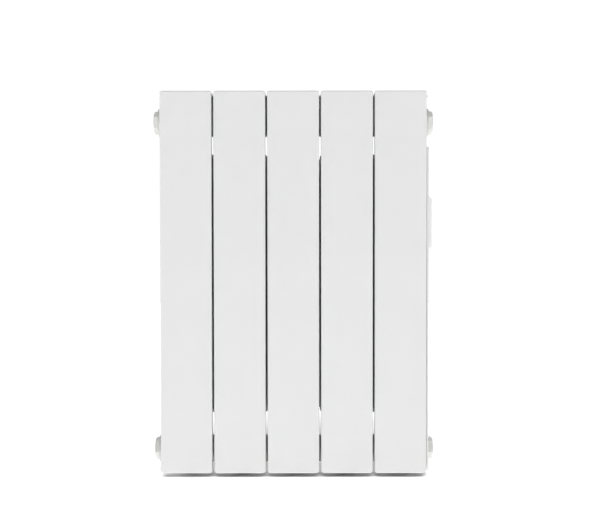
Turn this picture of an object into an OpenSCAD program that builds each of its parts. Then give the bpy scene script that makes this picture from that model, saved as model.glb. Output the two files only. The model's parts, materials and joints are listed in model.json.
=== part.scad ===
// Oil filled radiator heater: five cast aluminium sections on two headers,
// an immersion heater in the lower header and a control unit in the right side.
// X runs along the headers, the front faces -Y, and Z = 0 is the floor.

/* [Radiator core] */
// Distance from one section's centre to the next
pitch = 80; // [80:1:84]
// Distance between the lower and the upper header axes
header_distance = 500; // [500:10:600]
// Height of the lower header axis over the floor
lower_axis_z = 37; // [37:1:42]
// Height of the front panel's top over the upper header axis
crown_h = 40; // [38:1:42]
// Depth from the front panel's face to the header axis
front_depth = 48; // [48:1:52]
// Depth from the header axis to the rear panel's face
rear_depth = 48; // [48:1:52]

/* [Front panel] */
// Gap between neighbouring front panels
panel_gap = 3; // [1.8:0.2:3.4]
// Height of the front panel's lower edge over the floor
panel_lift = 7; // [6:1:10]
// Thickness of the front panel
panel_t = 2.2; // [1.8:0.2:3]
// Radius of the front panel's lower corners
lower_corner_r = 5; // [4:1:9]
// Radius of the front panel's upper corners
upper_corner_r = 2.5; // [2:0.5:5]
// Radius between the panel's face and its edges
edge_r = 2; // [1:0.5:2.5]

/* [Control unit] */
// Height of the cover plate's lower end over the floor
cover_low_z = 8; // [7:0.5:10]
// Height of the cover plate
cover_h = 487.5; // [484:0.5:489]
// Height of the raised control module's lower end over the floor
module_low_z = 342.5; // [330:0.5:350]
// Height of the raised control module
module_h = 80.5; // [79:0.5:84]
// How far the control module stands out from the cover plate
module_proud = 6.5; // [6.5:0.5:9]
// Travel of each push key
key_travel = 0.8; // [0.5:0.1:0.9]
// Angle between the off and on positions of the rocker
rocker_swing = 16; // [12:1:18]
// Bore of the cable gland for the mains cord
gland_bore = 6.8; // [6:0.2:7.6]

/* [Hidden] */
$fn = 64;

// Core layout
section_count = 5;
upper_axis_z = lower_axis_z + header_distance;
top_z = upper_axis_z + crown_h;
front_y = -front_depth;
rear_y = rear_depth;
panel_w = pitch - panel_gap;
end_x = pitch * section_count / 2;
arc_steps = 6;

// Cast section
joint_gasket_t = 1;
hub_half = (pitch - joint_gasket_t) / 2;
hub_r = 19.6;
collar_r = 21;
collar_w = 8;
thread_r = 16.6;
thread_depth = 20.5;
chamber_r = 15.2;
tube_r = 15;
bore_r = 12;
tube_low_z = 3;
flange_depth = 12;
flange_t = 1.6;
web_t = 2.6;
fin_t = 1.6;
fin_y = 33;
front_fin_half = pitch / 2 - 2.6;
rear_fin_half = pitch / 2 - 4;
rear_plate_t = 1.8;
rear_plate_low = lower_axis_z + 49;
rear_plate_top = upper_axis_z - 42;
rear_plate_half = pitch / 2 - 1.4;
lap_clearance = 0.6;
lap_t = 1.6;
lap_reach = pitch / 2 + 3.5;
hood_t = 2;
hood_low_z = upper_axis_z - 11;
hood_front_y = -24;
hood_depth = rear_y - 4 - hood_front_y;
hood_rise = top_z - hood_low_z;
end_hub_x = end_x - joint_gasket_t / 2;
boss_z = [lower_axis_z + 73, upper_axis_z - 71];

// Plugs, nipples and heater
plug_gasket_t = 2;
plug_thread = 13;
flange_r = 21;
flange_top = 6.8;
hex_r = 30 / sqrt(3);
plug_h = 12.8;
heater_plug_h = 14.1;
nipple_half = 19;
nipple_r = 16.5;
nipple_bore_r = 12.5;
leg_r = 4;
leg_offset = 5.5;
leg_left_x = -150;
terminal_bore_r = 9.5;
terminal_floor = 6.6;
fluid_level = upper_axis_z - 12;
fluid_clear = 0.2;

// Control unit, X positions measured from the floor frame
tray_back_x = end_x - 23.5;
tray_half = 31;
tray_low_z = lower_axis_z + 46;
tray_top_z = cover_low_z + cover_h - 5;
wall_t = 1.8;
cover_x = end_x + 0.2;
cover_t = 2.7;
lead_notch = [26, lower_axis_z + 8, 5];
cover_half = 38;
face_x = cover_x + cover_t;
module_half = 27;
module_top_z = module_low_z + module_h;
module_face_x = face_x + module_proud;
module_wall = 2;
board_t = 1.6;
ui_board_x = end_x - 2.8;
ui_front_x = ui_board_x + board_t;
post_y = 21.3;
post_z = [module_low_z + 7.5, module_top_z - 15];
power_board_x = tray_back_x + 3.1;
power_front_x = power_board_x + board_t;
power_board_low = tray_low_z + 62;
power_board_top = tray_low_z + 232;
power_screws = [for (z = [power_board_low + 8, power_board_top - 8]) for (y = [-18, 18]) [y, z]];
cover_screw_places = [for (z = [tray_low_z + 22, tray_top_z - 22]) for (y = [-25, 25]) [y, z]];
window_half = 18;
window_h = 25;
window_z = module_top_z - 30;
key_row_z = [module_low_z + 28, module_low_z + 12.5];
key_proud = 0.9;
key_gap = 0.25;
rocker_z = tray_low_z + 48;
rocker_axis_x = end_x - 1.8;
rocker_half_h = 7.5;
rocker_half_w = 4.8;
pivot_r = 1.5;
gland_x = end_x - 12;
gland_y = 23;
cutout_z = tray_top_z - 52;

// Route of the heater lead, from the terminal chamber to the control tray
lead_r = 2.2;
lead_x = end_hub_x + terminal_floor + 2.6;
lead_route = [
    [lead_x, 6, 37], [lead_x, 12, 37], [lead_x, 18, 37.2], [lead_x - 0.6, 21.6, 38],
    [206.4, 24.4, 39.8], [203.8, 26, 42.4], [200.8, 26.4, 45.8], [197.8, 25.6, 49.6],
    [195.2, 23.6, 53.8], [193.2, 20.6, 58.4], [191.8, 17.2, 63.4], [190.8, 13.8, 68.6],
    [190.2, 11, 74], [190, 9.4, 79.6], [190, 9, 85], [190, 9, 90]
];

white = "#e9e9e7";
steel = "#b9bcc0";
brass = "#c9a45a";
plastic = "#efefed";

// Points on an arc about [cx, cy], from angle a0 to a1
function arc(cx, cy, r, a0, a1, n = arc_steps) =
    [for (i = [0:n]) let (a = a0 + (a1 - a0) * i / n) [cx + r * cos(a), cy + r * sin(a)]];

// Points on the hood's quarter ellipse, inset by d, from its rear foot to its front edge
function hood_curve(d, n = 16) =
    [for (i = [0:n]) let (a = 90 * i / n)
        [hood_front_y + (hood_depth - d) * cos(a), hood_low_z + (hood_rise - d) * sin(a)]];

function reversed(list) = [for (i = [len(list) - 1:-1:0]) list[i]];
function section_x(i) = (i - (section_count + 1) / 2) * pitch;
function unit(v) = v / norm(v);

// Extrudes a [y, z] outline along X from x0 to x1
module along_x(x0, x1) {
    translate([x0, 0, 0]) rotate([90, 0, 90]) linear_extrude(x1 - x0) children();
}

// Extrudes an [x, z] outline along Y from y0 to y1
module along_y(y0, y1) {
    translate([0, y1, 0]) rotate([90, 0, 0]) linear_extrude(y1 - y0) children();
}

module box(low, high) {
    translate(low) cube(high - low);
}

// A cylinder along X
module rod_x(r, x0, x1, y = 0, z = 0) {
    translate([x0, y, z]) rotate([0, 90, 0]) cylinder(r = r, h = x1 - x0);
}

// A rectangle with its four corners rounded, centred on [cx, cy]
module rounded_rect(w, h, r, cx = 0, cy = 0) {
    polygon([
        for (q = [[1, 1, 0], [-1, 1, 90], [-1, -1, 180], [1, -1, 270]])
            each arc(cx + q[0] * (w / 2 - r), cy + q[1] * (h / 2 - r), r, q[2], q[2] + 90, 4)
    ]);
}

// A plate in the YZ plane with rounded corners, from x0 to x1
module side_plate(x0, x1, half, z0, z1, r) {
    along_x(x0, x1) rounded_rect(2 * half, z1 - z0, r, 0, (z0 + z1) / 2);
}

// A tube swept along a route of points that never runs along X, as one closed polyhedron
module swept_tube(route, r, sides = 10) {
    n = len(route);
    function tangent(i) = unit(route[min(i + 1, n - 1)] - route[max(i - 1, 0)]);
    function side(i) = unit(cross([1, 0, 0], tangent(i)));
    function other(i) = cross(tangent(i), side(i));
    points = [for (i = [0:n - 1]) for (k = [0:sides - 1])
        let (a = 360 * k / sides) route[i] + r * (cos(a) * side(i) + sin(a) * other(i))];
    walls = [for (i = [0:n - 2]) for (k = [0:sides - 1])
        let (a = i * sides + k, b = i * sides + (k + 1) % sides)
            each [[b, a, a + sides], [b, a + sides, b + sides]]];
    ends = [[for (k = [0:sides - 1]) k], [for (k = [sides - 1:-1:0]) (n - 1) * sides + k]];
    polyhedron(points, concat(walls, ends));
}

// ---------- Cast section, centred on X = 0 ----------

module front_panel() {
    half = panel_w / 2;
    inner = half - flange_t;
    back_y = front_y + flange_depth;
    face_y = front_y + panel_t;
    intersection() {
        linear_extrude(top_z + 10) polygon(concat(
            [[-half, back_y]], arc(-half + edge_r, front_y + edge_r, edge_r, 180, 270),
            arc(half - edge_r, front_y + edge_r, edge_r, 270, 360), [[half, back_y]],
            [[inner, back_y], [inner, face_y], [-inner, face_y], [-inner, back_y]]));
        along_y(front_y - 1, back_y + 1) polygon(concat(
            arc(-half + lower_corner_r, panel_lift + lower_corner_r, lower_corner_r, 180, 270),
            arc(half - lower_corner_r, panel_lift + lower_corner_r, lower_corner_r, 270, 360),
            arc(half - upper_corner_r, top_z - upper_corner_r, upper_corner_r, 0, 90),
            arc(-half + upper_corner_r, top_z - upper_corner_r, upper_corner_r, 90, 180)));
        along_x(-half - 1, half + 1) polygon(concat(
            [[back_y, top_z]], arc(front_y + edge_r, top_z - edge_r, edge_r, 90, 180),
            arc(front_y + edge_r, panel_lift + edge_r, edge_r, 180, 270),
            [[back_y, panel_lift]]));
    }
}

// The closed curved hood over the upper header, with a lap under its neighbour
module hood() {
    half = panel_w / 2;
    along_x(-half, half) polygon(concat(hood_curve(0), reversed(hood_curve(hood_t))));
    along_x(half - 3, half) polygon(concat(hood_curve(hood_t - 0.3),
        reversed(hood_curve(hood_t + lap_clearance + lap_t))));
    along_x(half - 2, lap_reach) polygon(concat(hood_curve(hood_t + lap_clearance),
        reversed(hood_curve(hood_t + lap_clearance + lap_t))));
    along_x(-web_t / 2, web_t / 2) polygon(concat([[hood_front_y, hood_low_z]], hood_curve(0.5)));
}

// The flat rear panel, with a lap inside its neighbour
module rear_panel() {
    mid_z = (rear_plate_low + rear_plate_top) / 2;
    tall = rear_plate_top - rear_plate_low;
    inner_y = rear_y - rear_plate_t;
    lap_y = inner_y - lap_clearance;
    along_y(inner_y, rear_y) rounded_rect(2 * rear_plate_half, tall, 5, 0, mid_z);
    box([rear_plate_half - 3, lap_y - lap_t, rear_plate_low + 8],
        [rear_plate_half, inner_y + 0.3, rear_plate_top - 8]);
    box([rear_plate_half - 2, lap_y - lap_t, rear_plate_low + 8],
        [lap_reach, lap_y, rear_plate_top - 8]);
}

// Two guide blades in the warm air outlet
module outlet_blades() {
    for (y = [front_y + 9, front_y + 17])
        along_x(-panel_w / 2 + 1, panel_w / 2 - 1)
            polygon([[y + 1.5, top_z - 22], [y + 3.1, top_z - 22],
                [y - 1.6, top_z - 3], [y - 3.1, top_z - 3]]);
}

module header_hub(z) {
    rod_x(hub_r, -hub_half + 1, hub_half - 1, 0, z);
    rod_x(collar_r, -hub_half, -hub_half + collar_w, 0, z);
    rod_x(collar_r, hub_half - collar_w, hub_half, 0, z);
}

module header_bore(z) {
    rod_x(chamber_r, -hub_half - 1, hub_half + 1, 0, z);
    rod_x(thread_r, -hub_half - 1, -hub_half + thread_depth, 0, z);
    rod_x(thread_r, hub_half - thread_depth, hub_half + 1, 0, z);
}

module casting(bosses = false) {
    color(white) difference() {
        union() {
            front_panel();
            hood();
            rear_panel();
            outlet_blades();
            header_hub(lower_axis_z);
            header_hub(upper_axis_z);
            translate([0, 0, tube_low_z])
                cylinder(r = tube_r, h = upper_axis_z - tube_low_z);
            box([-web_t / 2, front_y + 1, panel_lift + 5], [web_t / 2, -bore_r - 1, top_z - 5]);
            box([-web_t / 2, bore_r + 1, rear_plate_low], [web_t / 2, rear_y - 1, hood_low_z + 3]);
            box([-front_fin_half, -fin_y - fin_t / 2, panel_lift + 7],
                [front_fin_half, -fin_y + fin_t / 2, top_z - 25]);
            box([-rear_fin_half, fin_y - fin_t / 2, rear_plate_low + 4],
                [rear_fin_half, fin_y + fin_t / 2, rear_plate_top - 4]);
            if (bosses) for (z = boss_z) rod_x(4.5, bore_r + 1, tray_back_x - section_x(5), 0, z);
        }
        translate([0, 0, tube_low_z - 1]) cylinder(r = bore_r, h = upper_axis_z - tube_low_z);
        header_bore(lower_axis_z);
        header_bore(upper_axis_z);
        if (bosses) for (z = boss_z) rod_x(1.25, bore_r + 1, pitch, 0, z);
    }
}

module section(i) {
    translate([section_x(i), 0, 0]) casting(bosses = i == section_count);
}

module tube_cap(i) {
    color(steel) translate([section_x(i), 0, 0]) {
        cylinder(r1 = 13.2, r2 = 14, h = 0.8);
        translate([0, 0, 0.8]) cylinder(r = 14, h = tube_low_z - 0.8);
        translate([0, 0, tube_low_z]) cylinder(r = bore_r - 0.05, h = 5);
    }
}

// ---------- Headers ----------

// Half outline [r, z] of a threaded barrel, as rings of teeth
function thread_outline(r_tip, r_root, z0, z1, teeth) =
    let (step = (z1 - z0) / teeth)
    [for (i = [0:teeth - 1]) each [[r_root, z0 + i * step], [r_tip, z0 + (i + 0.5) * step]],
        [r_root, z1]];

// A right and left threaded joining nipple at the face after section i
module nipple(i, z) {
    color(steel) translate([section_x(i) + pitch / 2, 0, z]) rotate([0, 90, 0]) {
        difference() {
            rotate_extrude() polygon(concat(
                [[nipple_bore_r, -nipple_half]],
                thread_outline(nipple_r, nipple_r - 1.2, -nipple_half, -1.5, 8),
                thread_outline(nipple_r, nipple_r - 1.2, 1.5, nipple_half, 8),
                [[nipple_bore_r, nipple_half]]));
            // Two key slots for the assembly wrench
            translate([-1.5, -nipple_bore_r - 1, -nipple_half - 1])
                cube([3, 2 * nipple_bore_r + 2, 6]);
        }
    }
}

module gasket_ring(t) {
    difference() {
        cylinder(r = 20.5, h = t);
        translate([0, 0, -1]) cylinder(r = 16.8, h = t + 2);
    }
}

module joint_gaskets(z) {
    color("#3c3c3c") for (i = [1:section_count - 1])
        translate([section_x(i) + hub_half, 0, z]) rotate([0, 90, 0]) gasket_ring(joint_gasket_t);
}

// Turns the local +Z axis outwards on the left (-1) or right (1) end of a header
module at_header_end(end, z) {
    translate([end * end_hub_x, 0, z]) rotate([0, end * 90, 0]) children();
}

module plug_gaskets() {
    color("#c9c4b8") for (end = [-1, 1], z = [lower_axis_z, upper_axis_z])
        at_header_end(end, z) gasket_ring(plug_gasket_t);
}

module plug_solid(turn, height = plug_h) {
    rotate_extrude() polygon(concat(
        [[0, -plug_thread]],
        thread_outline(nipple_r, nipple_r - 1.2, -plug_thread, 0.5, 6),
        [[nipple_r - 1.2, plug_gasket_t], [flange_r, plug_gasket_t], [flange_r, flange_top - 0.7],
         [hex_r + 0.5, flange_top], [0, flange_top]]));
    intersection() {
        rotate([0, 0, turn]) translate([0, 0, flange_top - 0.5])
            cylinder(r = hex_r, h = height - flange_top + 0.5, $fn = 6);
        rotate_extrude() polygon([[0, flange_top - 1], [hex_r + 0.4, flange_top - 1],
            [hex_r + 0.4, height - 1.6], [hex_r - 2.2, height], [0, height]]);
    }
}

module blind_plug(end, z, turn) {
    color(white) at_header_end(end, z) difference() {
        plug_solid(turn);
        translate([0, 0, -plug_thread - 1]) cylinder(r = 12, h = 9);
        translate([0, 0, plug_h - 1.2]) cylinder(r = 9, h = 3);
    }
}

module heater_plug() {
    color(white) at_header_end(1, lower_axis_z) difference() {
        plug_solid(-18, heater_plug_h);
        translate([0, 0, terminal_floor]) cylinder(r = terminal_bore_r, h = heater_plug_h);
        translate([0, 0, terminal_floor + 2.6]) rotate([-90, 0, 0])
            cylinder(r = lead_r + 0.3, h = 30);
        for (s = [-1, 1]) translate([s * leg_offset, 0, -plug_thread - 1])
            cylinder(r = 3.2, h = 40);
    }
}

// Hairpin sheath that lies in the lower header
module heater_element() {
    inner_x = end_hub_x - plug_thread;
    color(steel) translate([0, 0, lower_axis_z]) {
        for (s = [-1, 1]) rod_x(leg_r, leg_left_x, inner_x, 0, s * leg_offset);
        translate([leg_left_x, 0, 0]) rotate([90, 90, 0]) rotate_extrude(angle = -180)
            translate([leg_offset, 0]) circle(r = leg_r);
    }
}

module heater_terminals() {
    at_header_end(1, lower_axis_z) for (s = [-1, 1]) translate([s * leg_offset, 0, 0]) {
        color("#f2ead8") difference() {
            translate([0, 0, -plug_thread + 0.2]) cylinder(r = 3, h = plug_thread + terminal_floor);
            translate([0, 0, -plug_thread]) cylinder(r = 1.3, h = 40);
        }
        color(brass) translate([0, 0, -plug_thread + 0.2])
            cylinder(r = 1.2, h = plug_thread + terminal_floor + 3);
    }
}

module heater_cap() {
    color(plastic) at_header_end(1, lower_axis_z) translate([0, 0, heater_plug_h - 1.2])
        cylinder(r = terminal_bore_r - 0.1, h = 1);
}

module heater_lead() {
    color("#d8d4cc") swept_tube(lead_route, lead_r);
}

// The oil: five columns and the lower header, up to the expansion space
module thermal_fluid() {
    low = tube_low_z + 5 + fluid_clear;
    reach = end_hub_x - plug_thread - fluid_clear;
    color("#c8922e") difference() {
        union() {
            rod_x(nipple_bore_r - fluid_clear, -reach, reach, 0, lower_axis_z);
            for (i = [1:section_count]) translate([section_x(i), 0, low])
                cylinder(r = bore_r - fluid_clear, h = fluid_level - low);
        }
        hull() for (s = [-1, 1])
            rod_x(leg_r + fluid_clear, leg_left_x - 11, reach + 1, 0, lower_axis_z + s * leg_offset);
    }
}

// ---------- Control unit ----------

module slots(x0, x1, z0, count, step) {
    for (k = [0:count - 1])
        side_plate(x0, x1, 11, z0 + k * step, z0 + k * step + 2.4, 1.19);
}

module control_tray() {
    inner_x = tray_back_x + wall_t;
    color(plastic) difference() {
        union() {
            difference() {
                side_plate(tray_back_x, cover_x, tray_half, tray_low_z, tray_top_z, 4);
                side_plate(inner_x, cover_x + 1, tray_half - wall_t,
                    tray_low_z + wall_t, tray_top_z - wall_t, 0.7);
            }
            for (p = cover_screw_places) rod_x(3.4, inner_x - 0.5, cover_x, p[0], p[1]);
            for (p = power_screws) rod_x(2.6, inner_x - 0.5, power_board_x, p[0], p[1]);
        }
        for (p = cover_screw_places) rod_x(1.25, inner_x + 3, cover_x + 1, p[0], p[1]);
        for (p = power_screws) rod_x(1.05, inner_x - 1.3, power_board_x + 1, p[0], p[1]);
        for (z = boss_z) rod_x(1.7, tray_back_x - 1, inner_x + 1, 0, z);
        rod_x(8.6, tray_back_x - 1, inner_x + 1, 0, cutout_z);
        translate([gland_x, gland_y, tray_low_z - 1]) cylinder(r = 5.1, h = wall_t + 3);
        translate([190, 9, tray_low_z - 1]) cylinder(r = lead_r + 0.2, h = wall_t + 3);
    }
}

module control_cover() {
    top = cover_low_z + cover_h;
    lip_x = cover_x - 3;
    color(plastic) difference() {
        union() {
            side_plate(cover_x, face_x - 0.6, cover_half, cover_low_z, top, 6);
            side_plate(face_x - 0.6, face_x, cover_half - 0.6, cover_low_z + 0.6, top - 0.6, 5.4);
            difference() {
                side_plate(lip_x, cover_x + 0.5, tray_half - wall_t - 0.3,
                    tray_low_z + wall_t + 0.3, tray_top_z - wall_t - 0.3, 2.2);
                side_plate(lip_x - 1, cover_x, tray_half - wall_t - 1.7,
                    tray_low_z + wall_t + 1.7, tray_top_z - wall_t - 1.7, 1.2);
            }
        }
        side_plate(lip_x, face_x + 1, module_half - 3, module_low_z + 3, module_top_z - 10, 2);
        slots(lip_x, face_x + 1, tray_low_z + 13, 4, 5);
        slots(lip_x, face_x + 1, top - 52, 6, 5);
        rod_x(flange_r + 1, lip_x, face_x + 1, 0, lower_axis_z);
        translate([0, 0, lower_axis_z])
            rotate([atan2(lead_notch[1] - lower_axis_z, lead_notch[0]), 0, 0])
                box([lip_x, flange_r - 1, -lead_notch[2]], [face_x + 1, 27, lead_notch[2]]);
        rod_x(lead_notch[2], lip_x, face_x + 1, lead_notch[0], lead_notch[1]);
        side_plate(lip_x, face_x + 1, 6.6, rocker_z - 9.6, rocker_z + 9.6, 0.8);
        side_plate(face_x - 1, face_x + 1, 8.1, rocker_z - 11.1, rocker_z + 11.1, 1.5);
        for (p = cover_screw_places) {
            rod_x(1.8, lip_x - 1, face_x + 1, p[0], p[1]);
            translate([face_x - 1.4, p[0], p[1]]) rotate([0, 90, 0])
                cylinder(r1 = 1.8, r2 = 4.1, h = 1.5);
            rod_x(3.7, lip_x - 1, cover_x, p[0], p[1]);
        }
    }
}

// Outline of the raised module seen from the front, its upper end sloping back
module module_profile() {
    along_y(-module_half, module_half) polygon([[face_x, module_low_z],
        [module_face_x - 0.8, module_low_z], [module_face_x, module_low_z + 0.8],
        [module_face_x, module_top_z - 6.5], [module_face_x - 0.6, module_top_z - 5],
        [face_x + 0.4, module_top_z], [face_x, module_top_z]]);
}

// Outline of the raised module seen from above, its long edges chamfered
module module_section() {
    translate([0, 0, module_low_z]) linear_extrude(module_h) polygon([
        [face_x, -module_half], [module_face_x - 1.2, -module_half],
        [module_face_x, -module_half + 1.2], [module_face_x, module_half - 1.2],
        [module_face_x - 1.2, module_half], [face_x, module_half]]);
}

// Raised housing that carries the display and the keys
module control_bezel() {
    cavity_x = module_face_x - module_wall;
    color(plastic) difference() {
        union() {
            difference() {
                intersection() {
                    module_profile();
                    module_section();
                    side_plate(face_x, module_face_x, module_half, module_low_z, module_top_z, 4);
                }
                side_plate(face_x - 1, cavity_x, module_half - module_wall,
                    module_low_z + module_wall, module_top_z - 10, 2.5);
            }
            for (z = post_z, y = [-post_y, post_y]) {
                rod_x(2.2, ui_front_x, cavity_x + 0.5, y, z);
                rod_x(1.1, ui_board_x - 1, ui_front_x + 1, y, z);
            }
        }
        side_plate(face_x - 1, module_face_x + 1, window_half - 2,
            window_z - window_h / 2 + 2, window_z + window_h / 2 - 2, 1);
        side_plate(module_face_x - 1.3, module_face_x + 1, window_half,
            window_z - window_h / 2, window_z + window_h / 2, 1.5);
        for (y = [-15, 0, 15]) rod_x(5 + key_gap, face_x, module_face_x + 1, y, key_row_z[0]);
        for (y = [-11, 11]) translate([0, y, 0])
            side_plate(face_x, module_face_x + 1, 8 + key_gap,
                key_row_z[1] - 4.5 - key_gap, key_row_z[1] + 4.5 + key_gap, 4.5);
        rod_x(1.3, face_x, module_face_x + 1, 22.5, window_z);
    }
}

module display_window() {
    color("#20262b") side_plate(module_face_x - 1.3, module_face_x - 0.1, window_half - 0.15,
        window_z - window_h / 2 + 0.15, window_z + window_h / 2 - 0.15, 1.4);
}

module lcd_module() {
    low = window_z - window_h / 2;
    color("#9fb0a0") {
        side_plate(ui_front_x, module_face_x - 2.6, window_half - 3,
            low + 3, low + window_h - 3, 0.8);
        side_plate(module_face_x - 2.6, module_face_x - 2.1, window_half - 4,
            low + 4, low + window_h - 4, 0.6);
    }
}

module interface_board() {
    color("#2f7a4a") difference() {
        side_plate(ui_board_x, ui_front_x, 24, module_low_z + 4.5, module_top_z - 12, 1.5);
        for (z = post_z, y = [-post_y, post_y]) rod_x(1.15, ui_board_x - 1, ui_front_x + 1, y, z);
    }
}

key_places = [
    [0, key_row_z[0]], [-15, key_row_z[0]], [15, key_row_z[0]],
    [-11, key_row_z[1]], [11, key_row_z[1]]
];

module tact_switches() {
    for (k = key_places) {
        color("#3a3a3a") box([ui_front_x, k[0] - 3, k[1] - 3],
            [ui_front_x + 2.6, k[0] + 3, k[1] + 3]);
        color(steel) rod_x(1.7, ui_front_x + 2.6, ui_front_x + 3.1, k[0], k[1]);
    }
}

module key_stem(y, z) {
    rod_x(1.9, ui_front_x + 3.3 + key_travel, module_face_x - 3, y, z);
}

module round_key(k) {
    y = key_places[k][0];
    z = key_places[k][1];
    color("#d9dadb") {
        rod_x(5, module_face_x - 3.6, module_face_x + key_proud - 0.4, y, z);
        translate([module_face_x + key_proud - 0.4, y, z]) rotate([0, 90, 0])
            cylinder(r1 = 5, r2 = 4.6, h = 0.4);
        rod_x(5.8, module_face_x - 3.4, module_face_x - module_wall - 0.2, y, z);
        key_stem(y, z);
    }
}

module long_key(k) {
    y = key_places[k][0];
    z = key_places[k][1];
    color("#d9dadb") {
        translate([0, y, 0]) {
            side_plate(module_face_x - 3.6, module_face_x + key_proud - 0.4, 8, z - 4.5, z + 4.5, 4.4);
            side_plate(module_face_x + key_proud - 0.5, module_face_x + key_proud, 7.6,
                z - 4.1, z + 4.1, 4);
            side_plate(module_face_x - 3.4, module_face_x - module_wall - 0.2, 8.8,
                z - 5.3, z + 5.3, 4.8);
        }
        key_stem(y, z);
    }
}

module indicator_lens() {
    color("#ff8a3c") rod_x(1.2, module_face_x - 4, module_face_x - 0.05, 22.5, window_z);
}

// Rocker of the mains switch, drawn in its off position
module rocker() {
    dip = rocker_half_h * tan(rocker_swing / 2);
    color("#26282a") translate([rocker_axis_x, 0, rocker_z]) rotate([0, rocker_swing / 2, 0]) {
        along_y(-rocker_half_w, rocker_half_w) polygon([
            [2.5, 0], [2.5 + dip, rocker_half_h - 0.1], [0.3, rocker_half_h - 0.1],
            [-2.6, 2.4], [-2.6, -2.4], [0.3, -rocker_half_h + 0.1],
            [2.5 + dip, -rocker_half_h + 0.1]]);
        translate([0, -rocker_half_w - 0.9, 0]) rotate([-90, 0, 0])
            cylinder(r = pivot_r, h = 2 * rocker_half_w + 1.8);
    }
}

module rocker_housing() {
    back_x = end_x - 16;
    color("#303234") difference() {
        union() {
            side_plate(back_x, face_x - 0.5, 6.4, rocker_z - 9.4, rocker_z + 9.4, 0.7);
            side_plate(face_x - 0.9, face_x - 0.1, 7.9, rocker_z - 10.9, rocker_z + 10.9, 1.4);
            for (z = [-6, 0, 6]) box([back_x - 4.5, -2.4, rocker_z + z - 0.4],
                [back_x + 1, 2.4, rocker_z + z + 0.4]);
        }
        side_plate(rocker_axis_x - 6.2, face_x + 1, 5.1, rocker_z - 8.4, rocker_z + 8.4, 0.5);
        translate([rocker_axis_x, -rocker_half_w - 1, rocker_z]) rotate([-90, 0, 0])
            cylinder(r = pivot_r + 0.05, h = 2 * rocker_half_w + 2);
    }
}

module power_board() {
    color("#2f7a4a") difference() {
        box([power_board_x, -24, power_board_low], [power_front_x, 24, power_board_top]);
        for (p = power_screws) rod_x(1.3, power_board_x - 1, power_front_x + 1, p[0], p[1]);
    }
}

module relay() {
    x = power_front_x;
    z = power_board_low + 60;
    color("#2c4f8f") {
        box([x, -20, z], [x + 13, -7, z + 29]);
        box([x + 13, -19, z + 1], [x + 13.4, -8, z + 28]);
    }
}

module transformer() {
    x = power_front_x;
    z = power_board_low + 108;
    color("#50555a") box([x, -16, z], [x + 2, 16, z + 34]);
    color("#c7a23c") box([x + 2, -9, z + 4], [x + 13, 9, z + 30]);
    color("#50555a") for (y = [-14.3, 9]) box([x + 2, y, z + 7], [x + 11, y + 5.3, z + 27]);
}

module capacitors() {
    for (k = [[12, 72, 5], [12, 88, 4], [-2, 98, 3]]) color("#1f2a44") {
        rod_x(k[2], power_front_x, power_front_x + 11, k[0], power_board_low + k[1]);
        rod_x(k[2] * 0.82, power_front_x + 11, power_front_x + 11.5, k[0], power_board_low + k[1]);
    }
}

module terminal_block() {
    x = power_front_x;
    z = power_board_low + 3;
    ways = [-10.4:5.2:10.4];
    color("#4f9c5a") difference() {
        box([x, -13, z], [x + 11, 13, z + 12]);
        for (y = ways) {
            rod_x(1.9, x + 6, x + 12, y, z + 7.5);
            box([x + 2, y - 1.7, z - 1], [x + 5, y + 1.7, z + 5]);
        }
    }
    color(steel) for (y = ways) rod_x(1.7, x + 6, x + 8.5, y, z + 7.5);
}

// Glass fuse in two clips
module fuse() {
    x = power_front_x;
    z = power_board_low + 30;
    color("#dfe6ea") translate([x + 4.5, 4, z]) cylinder(r = 2.4, h = 12);
    color(steel) for (dz = [-5, 12]) {
        translate([x + 4.5, 4, z + dz]) cylinder(r = 2.6, h = 5);
        box([x, 2.4, z + dz + 1], [x + 2.5, 5.6, z + dz + 4]);
    }
}

// Flat lead from the power board up to the interface board
module ribbon_cable() {
    x0 = power_front_x;
    x1 = ui_board_x;
    z0 = power_board_top - 20;
    z1 = module_low_z + 20;
    color("#b8bcc2") along_y(-6, 6) polygon([
        [x0, z0], [x0 + 7, z0 + 3], [x0 + 9, z0 + 10],
        [x1 - 5, z1 - 9], [x1 - 3, z1 - 3], [x1, z1 - 0.8],
        [x1, z1], [x1 - 3.6, z1 - 2], [x1 - 5.8, z1 - 8.6],
        [x0 + 8.2, z0 + 10.4], [x0 + 6.4, z0 + 3.6], [x0, z0 + 0.9]]);
}

// Cable gland in the tray's lower end, its bore open downwards
module cord_gland() {
    top = tray_low_z + wall_t + 7;
    color("#dadbdc") translate([gland_x, gland_y, 0]) difference() {
        union() {
            translate([0, 0, tray_low_z - 0.5]) cylinder(r = 5, h = top - tray_low_z + 0.5);
            translate([0, 0, tray_low_z - 4]) cylinder(r = 6.4, h = 4, $fn = 6);
            translate([0, 0, tray_low_z - 10]) cylinder(r1 = 4.6, r2 = 5.2, h = 6.5);
        }
        translate([0, 0, tray_low_z - 11]) cylinder(d = gland_bore, h = top - tray_low_z + 12);
    }
}

module gland_nut() {
    color("#dadbdc") translate([gland_x, gland_y, tray_low_z + wall_t]) difference() {
        cylinder(r = 6.2, h = 3, $fn = 6);
        translate([0, 0, -1]) cylinder(r = 5.05, h = 5);
    }
}

// A countersunk or pan-headed screw whose point lies at the local origin, along +X
module screw_x(length, shank_r, head_r, head_h, countersunk) {
    color(steel) difference() {
        union() {
            rod_x(shank_r, 0, length + (countersunk ? 0 : 0.2));
            if (countersunk) translate([length - head_h, 0, 0]) rotate([0, 90, 0])
                cylinder(r1 = shank_r, r2 = head_r, h = head_h);
            else rod_x(head_r, length, length + head_h);
        }
        for (a = [0, 90]) translate([length + (countersunk ? 0 : head_h), 0, 0]) rotate([a, 0, 0])
            cube([1.6, head_r * 1.1, 0.7], center = true);
    }
}

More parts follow.
